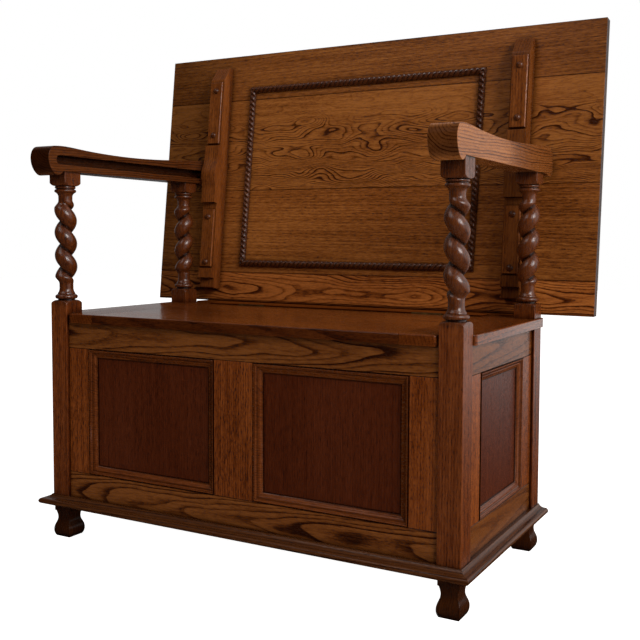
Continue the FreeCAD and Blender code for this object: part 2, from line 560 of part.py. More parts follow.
print("nodes", len(nodes), "y_mid %.4f" % y_mid)
print("box", min(b.XMin for b in boxes), max(b.XMax for b in boxes), min(b.YMin for b in boxes) - y_mid,
      max(b.YMax for b in boxes) - y_mid, min(b.ZMin for b in boxes), max(b.ZMax for b in boxes))
print("pivot y %.4f z %.4f s %.4f" % (PIVOT_Y - y_mid, PIVOT_Z, PIVOT_S))
for name, s in sorted(nodes.items()):
    print("%-26s solids %d valid %s vol %.1f" % (name, len(s.Solids), s.isValid(), s.Volume))
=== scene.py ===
import math
import random

import bmesh
import bpy
from mathutils import Matrix, Vector


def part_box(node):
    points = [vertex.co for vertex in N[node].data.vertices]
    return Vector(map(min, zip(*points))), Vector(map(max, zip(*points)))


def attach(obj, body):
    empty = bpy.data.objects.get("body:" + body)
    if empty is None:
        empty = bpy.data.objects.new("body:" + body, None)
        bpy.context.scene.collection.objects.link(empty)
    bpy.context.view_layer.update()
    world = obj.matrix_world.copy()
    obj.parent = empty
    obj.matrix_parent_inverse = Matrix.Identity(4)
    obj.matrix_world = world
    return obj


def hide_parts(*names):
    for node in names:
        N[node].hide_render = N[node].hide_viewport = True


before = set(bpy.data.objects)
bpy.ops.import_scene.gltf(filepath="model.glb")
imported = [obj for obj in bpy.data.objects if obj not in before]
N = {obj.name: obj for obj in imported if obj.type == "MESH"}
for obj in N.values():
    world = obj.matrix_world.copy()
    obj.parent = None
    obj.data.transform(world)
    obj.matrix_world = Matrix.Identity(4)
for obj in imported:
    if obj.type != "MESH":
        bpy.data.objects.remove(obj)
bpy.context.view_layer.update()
scene = bpy.context.scene

# ---------------------------------------------------------------- camera
CAM_AT = Vector((0.90967, -1.46418, 0.57337))
yaw, pitch, roll = math.radians(27.565), math.radians(-3.257), math.radians(0.355)
fwd = Vector((-math.sin(yaw) * math.cos(pitch), math.cos(yaw) * math.cos(pitch), math.sin(pitch)))
right = Vector((math.cos(yaw), math.sin(yaw), 0.0))
up = right.cross(fwd)
r2 = math.cos(roll) * right + math.sin(roll) * up
u2 = -math.sin(roll) * right + math.cos(roll) * up
cam_data = bpy.data.cameras.new("camera")
cam_data.sensor_width = 36.0
cam_data.lens = 50.746
cam_data.shift_x = -0.0778
cam_data.shift_y = -0.0453
cam_data.clip_end = 60.0
cam = bpy.data.objects.new("camera", cam_data)
scene.collection.objects.link(cam)
m = Matrix((r2, u2, -fwd)).transposed().to_4x4()
m.translation = CAM_AT
cam.matrix_world = m
scene.camera = cam

# ---------------------------------------------------------------- the leaning top's own axes
LEAN = math.radians(6.27)
TOP_AT = Vector((0.0, (414.8 - 227.0379) / 1000.0, 0.4374))
TOP_S = Vector((0.0, math.sin(LEAN), math.cos(LEAN)))       # up the board
TOP_T = Vector((0.0, math.cos(LEAN), -math.sin(LEAN)))      # through the board, front to back
EX, EY, EZ = Vector((1, 0, 0)), Vector((0, 1, 0)), Vector((0, 0, 1))


def top_point(x, t, s):
    return TOP_AT + x * EX + t * TOP_T + s * TOP_S


# ---------------------------------------------------------------- node tree helpers
class Tree:
    def __init__(self, name):
        self.mat = bpy.data.materials.new(name)
        self.mat.use_nodes = True
        self.nt = self.mat.node_tree
        self.nt.nodes.clear()

    def put(self, socket, value):
        if isinstance(value, bpy.types.NodeSocket):
            self.nt.links.new(value, socket)
        elif value is not None:
            socket.default_value = value

    def node(self, kind, **attrs):
        n = self.nt.nodes.new(kind)
        for k, v in attrs.items():
            setattr(n, k, v)
        return n

    def math(self, op, a, b=None, c=None, clamp=False):
        n = self.node("ShaderNodeMath", operation=op, use_clamp=clamp)
        for i, v in enumerate((a, b, c)):
            if v is not None:
                self.put(n.inputs[i], v)
        return n.outputs[0]

    def vmath(self, op, a, b=None):
        n = self.node("ShaderNodeVectorMath", operation=op)
        self.put(n.inputs[0], a)
        if b is not None:
            self.put(n.inputs[1], b)
        return n.outputs["Value"] if op in ("DOT_PRODUCT", "LENGTH", "DISTANCE") else n.outputs["Vector"]

    def noise(self, vec, scale=1.0, detail=2.0, rough=0.5, dist=0.0):
        n = self.node("ShaderNodeTexNoise", noise_dimensions="3D")
        self.put(n.inputs["Vector"], vec)
        n.inputs["Scale"].default_value = scale
        n.inputs["Detail"].default_value = detail
        n.inputs["Roughness"].default_value = rough
        n.inputs["Distortion"].default_value = dist
        return n.outputs["Fac"]

    def ramp(self, fac, stops, interp="LINEAR"):
        n = self.node("ShaderNodeValToRGB")
        n.color_ramp.interpolation = interp
        e = n.color_ramp.elements
        while len(e) > 1:
            e.remove(e[-1])
        for i, (p, c) in enumerate(stops):
            el = e[0] if i == 0 else e.new(p)
            el.position = p
            el.color = (c, c, c, 1.0) if isinstance(c, float) else (*c, 1.0)
        self.put(n.inputs[0], fac)
        return n.outputs["Color"]

    def remap(self, v, a, b, c=0.0, d=1.0, smooth=True):
        n = self.node("ShaderNodeMapRange", interpolation_type="SMOOTHSTEP" if smooth else "LINEAR")
        self.put(n.inputs[0], v)
        for i, x in enumerate((a, b, c, d)):
            self.put(n.inputs[i + 1], x)
        return n.outputs[0]

    def mix(self, kind, fac, a, b):
        n = self.node("ShaderNodeMix", data_type="RGBA", blend_type=kind)
        n.clamp_factor = True
        self.put(n.inputs[0], fac)
        self.put(n.inputs[6], a if isinstance(a, bpy.types.NodeSocket) else (*a, 1.0))
        self.put(n.inputs[7], b if isinstance(b, bpy.types.NodeSocket) else (*b, 1.0))
        return n.outputs[2]

    def scaled(self, vec, s):
        return self.vmath("MULTIPLY", vec, s)


def srgb(h):
    out = []
    for i in (0, 2, 4):
        c = int(h[i:i + 2], 16) / 255.0
        out.append(c / 12.92 if c <= 0.04045 else ((c + 0.055) / 1.055) ** 2.4)
    return tuple(out)


def oak(name, grain, width, base, pith=0.05, off=0.0, taper=0.02, ring=0.006, wild=0.006, wild_scale=(1.6, 9.0, 9.0),
        contrast=1.0, streak=1.0, mottle=1.0, coat=0.0, coat_rough=0.12, rough=0.24, spec=0.25, tone=1.0, centre=(0, 0, 0),
        wear=0.35, grime=0.8, bump=0.35, fleck=0.6, rim=None, endg=1.0, half=None, ends=None,
        band=None, nook=0.016, detail=3.0, jit=0.0026, fade=None, fadec=(0.34, 0.27, 0.22), gloss=None, crown=None,
        endc=(0.42, 0.36, 0.33)):
    """Stained and polished oak. The growth rings are those of a log whose heart lies pith metres under the
    face and off metres to the side, and taper tilts them along the grain, which draws the arches."""
    rnd = random.Random(name)
    T = Tree(name)
    g, w = grain.normalized(), width.normalized()
    rot = Matrix((g, w, g.cross(w)))
    tc = T.node("ShaderNodeTexCoord")
    mp = T.node("ShaderNodeMapping", vector_type="POINT")
    T.put(mp.inputs["Vector"], tc.outputs["Object"])
    mp.inputs["Rotation"].default_value = rot.to_euler("XYZ")
    mp.inputs["Location"].default_value = -(rot @ Vector(centre))
    q = mp.outputs["Vector"]
    seed = Vector((rnd.uniform(3, 40), rnd.uniform(3, 40), rnd.uniform(3, 40)))
    qs = T.vmath("ADD", q, tuple(seed))
    # growth rings
    n1 = T.noise(T.scaled(qs, wild_scale), 1.0, detail, 0.5)
    n2 = T.noise(T.scaled(qs, (3.5, 40.0, 40.0)), 1.0, 2.0, 0.5)
    sp = T.node("ShaderNodeSeparateXYZ")
    T.put(sp.inputs[0], q)
    x, y, z = sp.outputs
    yy = T.math("ADD", y, -off)
    zz = T.math("ADD", z, pith)
    d = T.math("SQRT", T.math("ADD", T.math("MULTIPLY", yy, yy), T.math("MULTIPLY", zz, zz)))
    d = T.math("MULTIPLY_ADD", x, taper, d)
    d = T.math("MULTIPLY_ADD", n1, wild * 2.0, d)
    d = T.math("MULTIPLY_ADD", n2, jit, d)
    r = T.math("MULTIPLY", d, 1.0 / ring)
    r = T.math("ADD", r, rnd.uniform(10, 60))
    f = T.math("FRACT", r)
    ring_id = T.math("FLOOR", r)
    wn = T.node("ShaderNodeTexWhiteNoise", noise_dimensions="1D")
    T.put(wn.inputs["W"], ring_id)
    per_ring = wn.outputs["Value"]
    early = T.ramp(f, [(0.0, 0.25), (0.05, 1.0), (0.17, 0.85), (0.36, 0.28), (0.65, 0.05), (0.93, 0.08), (1.0, 0.25)])
    early = T.math("MULTIPLY", early, T.math("MULTIPLY_ADD", per_ring, 0.80, 0.35))
    if band is not None:
        # the wild figure lies in one strip of the board
        inside = T.math("MULTIPLY", T.remap(y, band[0] - 0.016, band[0] + 0.016), T.remap(y, band[1] + 0.016, band[1] - 0.016))
        early = T.math("MULTIPLY", early, T.math("MULTIPLY_ADD", inside, 0.78, 0.22))
    # fibre, broken dark dashes along the pores, broad changes of tone
    fib = T.noise(T.scaled(qs, (58.0, 440.0, 440.0)), 1.0, 3.0, 0.6)
    fib2 = T.noise(T.scaled(qs, (4.5, 120.0, 120.0)), 1.0, 2.0, 0.55)
    por = T.noise(T.scaled(qs, (150.0, 880.0, 880.0)), 1.0, 1.0, 0.5)
    por = T.remap(por, 0.52, 0.66)
    por_m = T.math("MULTIPLY", por, T.math("MULTIPLY_ADD", early, 0.60, 0.45, clamp=True))
    broad = T.noise(T.scaled(qs, (2.4, 8.0, 8.0)), 1.0, 2.0, 0.5)
    # tone: 0 dark, 1 light
    v = T.math("MULTIPLY_ADD", early, -0.66 * contrast, 0.54 + 0.20 * contrast + 0.10 * fleck)
    v = T.math("MULTIPLY_ADD", T.math("ADD", fib, -0.5), 0.95 * streak, v)
    v = T.math("MULTIPLY_ADD", T.math("ADD", fib2, -0.5), 0.52 * streak, v)
    v = T.math("MULTIPLY_ADD", T.math("ADD", broad, -0.5), 0.75 * mottle, v)
    v = T.math("MULTIPLY_ADD", por_m, -fleck, v)
    b = tuple(k * tone for k in base)
    dark = (b[0] * 0.20, b[1] * 0.15, b[2] * 0.15)
    deep = (b[0] * 0.55, b[1] * 0.50, b[2] * 0.48)
    light = (min(1.0, b[0] * 1.75), min(1.0, b[1] * 2.05), min(1.0, b[2] * 2.4))
    col = T.ramp(v, [(0.0, dark), (0.25, deep), (0.52, b), (1.0, light)])
    # end grain takes more stain
    nd = T.math("ABSOLUTE", T.vmath("DOT_PRODUCT", tc.outputs["Normal"], tuple(g)))
    col = T.mix("MULTIPLY", T.math("MULTIPLY", T.remap(nd, 0.45, 0.9), endg), col, endc)
    # rubbed edges, and painted shade: ambient occlusion darkens the corners and hollows
    geo = T.node("ShaderNodeNewGeometry")
    bev = T.node("ShaderNodeBevel", samples=4)
    bev.inputs["Radius"].default_value = 0.0030
    dot = T.vmath("DOT_PRODUCT", bev.outputs["Normal"], geo.outputs["Normal"])
    edge = T.remap(dot, 0.995, 0.86)
    ao = T.node("ShaderNodeAmbientOcclusion", samples=6)
    ao.inputs["Distance"].default_value = nook
    aof = T.remap(ao.outputs["AO"], 0.40, 0.92)
    edge = T.math("MULTIPLY", T.math("MULTIPLY", edge, aof), T.math("MULTIPLY_ADD", fib2, 0.9, 0.05))
    col = T.mix("MIX", T.math("MULTIPLY", edge, wear, clamp=True), col, tuple(min(1.0, k * 1.35) for k in light))
    # painted shade in the corners and hollows, darker where the ambient occlusion is low
    col = T.mix("MULTIPLY", T.math("MULTIPLY_ADD", aof, -grime, grime, clamp=True), col, (0.16, 0.11, 0.08))
    if ends is not None:
        # painted shade: the margins are darker than the middle
        margin = T.math("MULTIPLY", T.remap(x, -0.50, -0.25, ends[0], 1.0), T.remap(x, 0.50, 0.30, ends[1], 1.0))
        cm = T.node("ShaderNodeCombineXYZ")
        for i in range(3):
            T.put(cm.inputs[i], margin)
        col = T.vmath("MULTIPLY", col, cm.outputs[0])
    if crown is not None:
        # painted shade: the cuts between the strands are darkened
        at = T.node("ShaderNodeAttribute", attribute_name="crown")
        cut = T.remap(at.outputs["Fac"], 0.02, 0.48, crown, 0.0)
        col = T.mix("MULTIPLY", cut, col, (0.14, 0.10, 0.08))
    if fade is not None:
        # one end is darker: on the posts a darker, glossier polish over the twists; on the right arm painted shade over
        # the rear half
        polish_and_shade_mask = T.remap(x, fade[0], fade[1], 0.0, fade[2])
        col = T.mix("MULTIPLY", polish_and_shade_mask, col, fadec)
    if half is not None:
        # dirt along the long joints
        line = T.remap(T.math("ABSOLUTE", y), half - 0.0019, half - 0.0006)
        col = T.mix("MULTIPLY", T.math("MULTIPLY", line, 0.8), col, (0.20, 0.15, 0.13))
    if rim is not None:
        # dark stopping in the joint round a panel moulding and along its inner edge
        raw = T.node("ShaderNodeSeparateXYZ")
        T.put(raw.inputs[0], tc.outputs["Object"])
        dist = None
        for ax, val in rim:
            t = T.math("ABSOLUTE", T.math("ADD", raw.outputs[ax], -val))
            dist = t if dist is None else T.math("MINIMUM", dist, t)
        line = T.math("MAXIMUM", T.remap(dist, 0.0022, 0.0009), T.remap(dist, 0.0146, 0.0160))
        # painted shade: a dark line 7 mm in, in the crease of the moulding's profile
        line = T.math("MAXIMUM", line, T.math("MULTIPLY", T.remap(T.math("ABSOLUTE", T.math("ADD", dist, -0.0070)), 0.0016, 0.0004), 0.6))
        col = T.mix("MULTIPLY", T.math("MULTIPLY", line, 0.9), col, (0.10, 0.07, 0.06))
    # finish
    bs = T.node("ShaderNodeBsdfPrincipled")
    T.put(bs.inputs["Base Color"], col)
    ro = T.math("MULTIPLY_ADD", por_m, 0.22, rough - 0.04)
    ro = T.math("MULTIPLY_ADD", T.math("ADD", broad, -0.5), 0.14, ro)
    T.put(bs.inputs["Roughness"], ro)
    if gloss is None:
        T.put(bs.inputs["Specular IOR Level"], T.remap(nd, 0.45, 0.9, spec, spec * (1.0 - 0.85 * endg)))
    else:
        T.put(bs.inputs["Specular IOR Level"], T.remap(x, fade[0], fade[1], spec, gloss))
    bs.inputs["Coat Weight"].default_value = coat
    bs.inputs["Coat Roughness"].default_value = coat_rough
    bs.inputs["Coat IOR"].default_value = 1.45
    h = T.math("MULTIPLY_ADD", por_m, -0.8, T.math("MULTIPLY", fib, 0.35))
    h = T.math("MULTIPLY_ADD", early, -0.30, h)
    bp = T.node("ShaderNodeBump")
    bp.inputs["Strength"].default_value = bump
    bp.inputs["Distance"].default_value = 0.0004
    T.put(bp.inputs["Height"], h)
    T.put(bs.inputs["Normal"], bp.outputs["Normal"])
    if rim is not None:
        prof = T.ramp(T.math("MULTIPLY", dist, 1.0 / 0.016), [(0.0, 0.05), (0.05, 0.55), (0.13, 0.92), (0.20, 1.0), (0.28, 0.92), (0.37, 0.60), (0.40, 0.40),
                                                           (0.50, 0.42), (0.56, 0.62), (0.66, 0.62), (0.80, 0.35), (1.0, 0.0)])
        step = T.node("ShaderNodeBump")
        step.inputs["Strength"].default_value = 0.9
        step.inputs["Distance"].default_value = 0.0055
        T.put(step.inputs["Height"], prof)
        T.put(step.inputs["Normal"], bp.outputs["Normal"])
        T.put(bs.inputs["Normal"], step.outputs["Normal"])
    out = T.node("ShaderNodeOutputMaterial")
    T.put(out.inputs["Surface"], bs.outputs[0])
    return T.mat


def brass(name):
    T = Tree(name)
    tc = T.node("ShaderNodeTexCoord")
    n = T.noise(tc.outputs["Object"], 60.0, 4.0, 0.6)
    col = T.ramp(n, [(0.3, (0.05, 0.030, 0.012)), (0.6, (0.13, 0.080, 0.028)), (0.8, (0.24, 0.15, 0.05))])
    bs = T.node("ShaderNodeBsdfPrincipled")
    T.put(bs.inputs["Base Color"], col)
    bs.inputs["Metallic"].default_value = 1.0
    T.put(bs.inputs["Roughness"], T.math("MULTIPLY_ADD", n, 0.3, 0.3))
    out = T.node("ShaderNodeOutputMaterial")
    T.put(out.inputs["Surface"], bs.outputs[0])
    return T.mat


# ---------------------------------------------------------------- own meshes for the carved pieces
Y_MID = 227.0379


def mesh_object(name, verts, faces, body, nodes, sharp=None, crown=None):
    """verts in millimetres, in the part's frame with the front faces of the posts at y 0"""
    me = bpy.data.meshes.new(name)
    me.from_pydata([(x / 1000.0, (y - Y_MID) / 1000.0, z / 1000.0) for x, y, z in verts], [], faces)
    if crown is not None:
        me.attributes.new("crown", "FLOAT", "POINT").data.foreach_set("value", crown)
    me.validate()
    for p in me.polygons:
        p.use_smooth = True
    if sharp is not None:
        me.set_sharp_from_angle(angle=math.radians(sharp))
    o = bpy.data.objects.new(name, me)
    scene.collection.objects.link(o)
    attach(o, body)
    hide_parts(*nodes)
    return o


def arc3(a, m, b, n):
    """n points after a on the arc a, m, b"""
    ax, ay = a
    bx, by = m
    cx, cy = b
    d = 2 * (ax * (by - cy) + bx * (cy - ay) + cx * (ay - by))
    ux = ((ax * ax + ay * ay) * (by - cy) + (bx * bx + by * by) * (cy - ay) + (cx * cx + cy * cy) * (ay - by)) / d
    uy = ((ax * ax + ay * ay) * (cx - bx) + (bx * bx + by * by) * (ax - cx) + (cx * cx + cy * cy) * (bx - ax)) / d
    r = math.hypot(ax - ux, ay - uy)
    t0, tm, t1 = (math.atan2(p[1] - uy, p[0] - ux) for p in (a, m, b))
    two = 2 * math.pi
    sweep, part = (t1 - t0) % two, (tm - t0) % two
    if part > sweep:
        sweep -= two
    return [(ux + r * math.cos(t0 + sweep * i / n), uy + r * math.sin(t0 + sweep * i / n)) for i in range(1, n + 1)]


def smooth01(t):
    t = max(0.0, min(1.0, t))
    return t * t * (3 - 2 * t)


POST_OFFS = [0, 1.0, 2.2, 3.6, 5.5, 8, 11, 14.5, 18.5, 23, 28, 33.5, 39, 45]
POST_ANGLES = []
for k in range(4):
    c = 45 + 90 * k
    POST_ANGLES += [c - o for o in reversed(POST_OFFS[1:])] + [c + o for o in POST_OFFS[:-1]]
POST_ANGLES = [math.radians(a) for a in POST_ANGLES]
TWIST_CROWN, TWIST_ROOT, NECK, PITCH = 20.4, 8.8, 12.8, 43.3


def square_r(t, h=20.0, p=44.0):
    c, s = abs(math.cos(t)), abs(math.sin(t))
    m = max(c, s)
    return h / (m * ((c / m) ** p + (s / m) ** p) ** (1.0 / p))


def bine(name, node, x, y, hand, phase_deg, phase_z, low_dz, up_dz):
    """A post: square foot with a turned shoulder, collars, one fat strand twisted round, collars, square block."""
    sz, bz = 455.0 + low_dz, 671.0 + up_dz
    z0, z1 = 486.0 + low_dz, 645.0 + up_dz
    rows = [("q", 65.0, 99.0), ("q", sz - 10.5, 99.0)]
    rows += [("q", q[1], q[0]) for q in arc3((30.0, sz - 10.5), (26.4, sz - 3.6), (18.5, sz), 9)]
    low = [(15.5, sz), (15.5, sz + 2.2), (17.8, sz + 2.6)] + arc3((17.8, sz + 2.6), (20.6, sz + 6.6), (17.8, sz + 10.6), 10)
    low += [(16.2, sz + 11.2), (16.2, sz + 12.8)] + arc3((16.2, sz + 12.8), (13.9, sz + 17.0), (NECK, sz + 23.0), 7)
    rows += [("t", z, r) for r, z in low]
    n = 220
    rows += [("w", z0 + (z1 - z0) * i / n, 0.0) for i in range(n + 1)]
    up = [(NECK, bz - 21.0)] + arc3((NECK, bz - 21.0), (13.9, bz - 16.0), (17.0, bz - 12.4), 7)
    up += [(17.8, bz - 12.2)] + arc3((17.8, bz - 12.2), (19.8, bz - 9.3), (17.8, bz - 6.4), 9) + [(16.6, bz - 6.2), (16.6, bz - 5.0)]
    up += [(17.6, bz - 4.8)] + arc3((17.6, bz - 4.8), (18.9, bz - 2.6), (17.6, bz - 0.4), 7) + [(16.6, bz - 0.2), (16.6, bz)]
    rows += [("t", z, r) for r, z in up]
    rows += [("q", bz, 18.5)]
    rows += [("q", q[1], q[0]) for q in arc3((18.5, bz), (26.4, bz + 3.6), (30.0, bz + 10.5), 9)]
    rows += [("q", 697.0, 99.0)]
    verts, faces, crown = [], [], []
    for kind, z, r in rows:
        edge = min(z - z0, z1 - z)
        fade = smooth01(edge / 15.0)
        phi = math.radians(phase_deg) + hand * 2 * math.pi * (z - phase_z) / PITCH
        for t in POST_ANGLES:
            lobe = 1.0
            if kind == "q":
                rad = min(square_r(t), r)
            elif kind == "t":
                rad = r
            else:
                u = ((t - phi) / (2 * math.pi) + 0.5) % 1.0 - 0.5
                lobe = max(0.0, 1 - abs(2 * u) ** 2.0) ** 0.95
                rad = NECK + fade * (TWIST_ROOT + (TWIST_CROWN - TWIST_ROOT) * lobe - NECK)
            verts.append((x + rad * math.cos(t), y + rad * math.sin(t), z))
            crown.append(1.0 - fade * (1.0 - lobe))
    k = len(POST_ANGLES)
    for i in range(len(rows) - 1):
        for j in range(k):
            a, b = i * k + j, i * k + (j + 1) % k
            faces.append((a, b, b + k, a + k))
    faces.append(tuple(range(k - 1, -1, -1)))
    top = (len(rows) - 1) * k
    faces.append(tuple(range(top, top + k)))
    return mesh_object(name, verts, faces, "base", [node], sharp=38, crown=crown)


POSTS = {
    "front_left_post": bine("front_left_twist", "front_left_post", -400, 20, -1, 226, 627.0, 0.0, 0.0),
    "front_right_post": bine("front_right_twist", "front_right_post", 400, 20, -1, 202, 607.6, -3.0, -6.5),
    "rear_left_post": bine("rear_left_twist", "rear_left_post", -400, 368, 1, 219, 632.5, 6.5, 4.0),
    "rear_right_post": bine("rear_right_twist", "rear_right_post", 400, 368, 1, 17.6, 620.0, 4.0, 4.0),
}

# the rope moulding: four mitred lengths, a half-round cut into slanting strands
ROPE = [(-287.0, 74.5), (272.0, 74.5), (277.5, 480.5), (-285.0, 480.5)]
ROPE_W, ROPE_H, STRAND, HALF_TURN = 15.0, 9.0, 11.5, 14.5


def inset(corners, d):
    out = []
    n = len(corners)
    for i in range(n):
        p, c, q = corners[i - 1], corners[i], corners[(i + 1) % n]
        u = (c[0] - p[0], c[1] - p[1])
        w = (q[0] - c[0], q[1] - c[1])
        lu, lw = math.hypot(*u), math.hypot(*w)
        u, w = (u[0] / lu, u[1] / lu), (w[0] / lw, w[1] / lw)
        kk = d / (u[0] * w[1] - u[1] * w[0])
        out.append((c[0] + kk * (w[0] - u[0]), c[1] + kk * (w[1] - u[1])))
    return out


rope_v, rope_f, rope_c = [], [], []
inner_corners = inset(ROPE, ROPE_W)
for i in range(4):
    a, b = ROPE[i], ROPE[(i + 1) % 4]
    ai, bi = inner_corners[i], inner_corners[(i + 1) % 4]
    length = math.hypot(b[0] - a[0], b[1] - a[1])
    ux, us = (b[0] - a[0]) / length, (b[1] - a[1]) / length
    nx, ns = -us, ux
    along = lambda p: (p[0] - a[0]) * ux + (p[1] - a[1]) * us
    cols, rws = int(length / 0.9), 26
    base = len(rope_v)

    def at(u, v, h):
        q = top_point((a[0] + u * ux + v * nx) / 1000.0, -h / 1000.0, (a[1] + u * us + v * ns) / 1000.0)
        return (q.x * 1000.0, q.y * 1000.0 + Y_MID, q.z * 1000.0)

    for r in range(rws + 1):
        al = math.pi * r / rws
        v = ROPE_W / 2 * (1 - math.cos(al))
        w = v / ROPE_W
        u0, u1 = along(ai) * w, length + (along(bi) - length) * w
        for c in range(cols + 1):
            u = u0 + (u1 - u0) * c / cols
            f = ((u - HALF_TURN * (al / math.pi)) / STRAND) % 1.0
            lobe = max(0.0, 1 - abs(2 * f - 1) ** 2.0) ** 0.75
            rho = 0.50 + 0.50 * lobe
            rope_c.append(lobe * min(1.0, 0.35 + 0.9 * math.sin(al)))
            h = max(0.5, math.sin(al) * ROPE_H * rho)
            vv = ROPE_W / 2 + (v - ROPE_W / 2) * (0.86 + 0.14 * lobe)
            rope_v.append(at(u, vv, h))
    k = cols + 1
    for r in range(rws):
        for c in range(cols):
            q = base + r * k + c
            rope_f.append((q, q + 1, q + 1 + k, q + k))
    # flat underside
    low = len(rope_v)
    for r in (0, rws):
        w = 0.0 if r == 0 else 1.0
        u0, u1 = along(ai) * w, length + (along(bi) - length) * w
        for c in range(cols + 1):
            rope_v.append(at(u0 + (u1 - u0) * c / cols, ROPE_W / 2 + (ROPE_W * w - ROPE_W / 2) * 0.86, 0.0))
            rope_c.append(0.0)
    for c in range(cols):
        rope_f.append((base + c + 1, base + c, low + c, low + c + 1))
        q = base + rws * k + c
        rope_f.append((q, q + 1, low + k + c + 1, low + k + c))
        rope_f.append((low + c + 1, low + c, low + k + c, low + k + c + 1))
    rope_f.append(tuple([base + r * k for r in range(rws + 1)] + [low + k, low]))
    rope_f.append(tuple([base + r * k + cols for r in range(rws, -1, -1)] + [low + cols, low + k + cols]))
ROPE_O = mesh_object("rope_strands", rope_v, rope_f, "top", ["rope_moulding"], sharp=70, crown=rope_c)

# the fixed seat ends, with their outer upper edges rounded over
def seat_end(name, node, sx):
    rr = 13.0
    kq = rr * (1 - math.sqrt(0.5))
    ear, xi, front, side, depth = 40.2, 379.8, -2.4, 424.5, 388.0
    pts = [(315.0, front), (xi - 1.6 - rr, front)]
    soft = [0]
    pts += arc3((xi - 1.6 - rr, front), (xi - 1.6 - kq, front + kq), (xi - 1.6, front + rr), 8)
    soft += list(range(1, 9))
    pts += [(xi, front + rr + 3), (xi, ear), (419.0, ear), (side - 4.2, ear)]
    n0 = len(pts) - 1
    pts += arc3((side - 4.2, ear), (side - 1.0, ear + 3.2), (side, ear + 9.0), 6)
    pts += [(side, depth - 3)]
    soft += list(range(n0, len(pts) - 1))
    pts += arc3((side, depth - 3), (side - 0.9, depth - 0.9), (side - 3, depth), 4)
    pts += [(420.2, depth), (420.2, 347.8), (xi, 347.8), (xi, depth), (315.0, depth)]
    bm = bmesh.new()
    lo = [bm.verts.new((sx * x / 1000, (y - Y_MID) / 1000, 0.414)) for x, y in pts]
    hi = [bm.verts.new((sx * x / 1000, (y - Y_MID) / 1000, 0.431)) for x, y in pts]
    bm.faces.new(hi)
    bm.faces.new(list(reversed(lo)))
    m = len(pts)
    for i in range(m):
        j = (i + 1) % m
        bm.faces.new((lo[i], lo[j], hi[j], hi[i]))
    bmesh.ops.recalc_face_normals(bm, faces=bm.faces)
    want = []
    for i in soft:
        e = bm.edges.get((hi[i], hi[(i + 1) % m]))
        if e is not None:
            want.append(e)
    bmesh.ops.bevel(bm, geom=want, offset=0.003, offset_type="OFFSET", segments=5, profile=0.5, affect="EDGES")
    me = bpy.data.meshes.new(name)
    bm.to_mesh(me)
    bm.free()
    for p in me.polygons:
        p.use_smooth = True
    me.set_sharp_from_angle(angle=math.radians(30))
    o = bpy.data.objects.new(name, me)
    scene.collection.objects.link(o)
    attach(o, "base")
    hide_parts(node)
    return o


SEAT_ENDS = {"seat_left_end": seat_end("seat_left_board", "seat_left_end", -1),
             "seat_right_end": seat_end("seat_right_board", "seat_right_end", 1)}
OWN = dict(POSTS)
OWN.update(SEAT_ENDS)
OWN["rope_moulding"] = ROPE_O

# ---------------------------------------------------------------- finish of each node
TOPW = dict(base=(0.296, 0.087, 0.0155), endc=(0.14, 0.11, 0.10))
LOWW = dict(base=(0.360, 0.096, 0.0170), endc=(0.14, 0.11, 0.10))
BATW = dict(base=(0.300, 0.079, 0.0145))
RAIL = dict(base=(0.150, 0.040, 0.0066))
STILE = dict(base=(0.205, 0.044, 0.0062))
POSTW = dict(base=(0.170, 0.036, 0.0060))
PANEL = dict(base=(0.089, 0.016, 0.0038))
SEAT = dict(base=(0.20, 0.045, 0.0065))
ARM = dict(base=(0.20, 0.060, 0.0130))
ARM_L = dict(base=(0.20, 0.049, 0.0092))
DARK = dict(base=(0.10, 0.024, 0.0050))
PLINTH = dict(base=(0.086, 0.024, 0.0056))
MOULD = dict(base=(0.165, 0.037, 0.0062))
BACKW = dict(base=(0.15, 0.040, 0.0090))
INSIDE = dict(base=(0.36, 0.18, 0.065))


def put(name, mat):
    for o in (N[name], OWN.get(name)):
        if o is not None:
            o.data.materials.clear()
            o.data.materials.append(mat)


def mid_of(name):
    lo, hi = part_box(name)
    return (lo + hi) / 2


JOINTED = ("stile", "muntin", "_rail", "top_plank", "seat_")
PLANK_HALF = {"top_plank_lower": 0.031, "top_plank_lower_middle": 0.092, "top_plank_upper_middle": 0.103, "top_plank_upper": 0.0515}


def board(name, g, w, pal, **kw):
    kw.setdefault("centre", mid_of(name))
    if any(k in name for k in JOINTED):
        lo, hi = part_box(name)
        kw.setdefault("half", PLANK_HALF.get(name, abs((hi - lo).dot(w)) / 2))
    put(name, oak("oak_" + name, g, w, **pal, **kw))


# the top's planks
# painted shade on the margins of each plank, set by the pair of factors for its two ends
board("top_plank_lower", EX, TOP_S, LOWW, ends=(0.55, 0.85), pith=0.014, off=-0.006, taper=0.030, ring=0.0042, wild=0.018, wild_scale=(5.5, 17, 17), contrast=1.75, detail=1.6, jit=0.0012, streak=1.2, tone=1.10)
board("top_plank_lower_middle", EX, TOP_S, TOPW, ends=(0.50, 0.80), pith=0.10, off=-0.14, taper=0.012, ring=0.0052, wild=0.006, contrast=0.35, fleck=0.52, streak=1.40, tone=1.10)
board("top_plank_upper_middle", EX, TOP_S, TOPW, ends=(0.50, 0.85), pith=0.06, off=0.03, taper=0.02, ring=0.0033, wild=0.031, wild_scale=(7.5, 22, 22), contrast=1.65, band=(-0.110, 0.045), detail=1.3, jit=0.0008, streak=1.2)
board("top_plank_upper", EX, TOP_S, TOPW, ends=(0.50, 0.80), pith=0.12, off=0.15, taper=0.010, ring=0.0052, wild=0.006, contrast=0.35, fleck=0.52, streak=1.40, tone=0.92)
for s in ("left", "right"):
    # painted shade: the right batten's lower tone (0.56 against 0.80) stands in for the shadow of the arm and post
    board(s + "_batten", TOP_S, EX, BATW, pith=0.02, off=0.12, ring=0.006, wild=0.004, contrast=0.4, tone=0.80 if s == "left" else 0.56, nook=0.022)
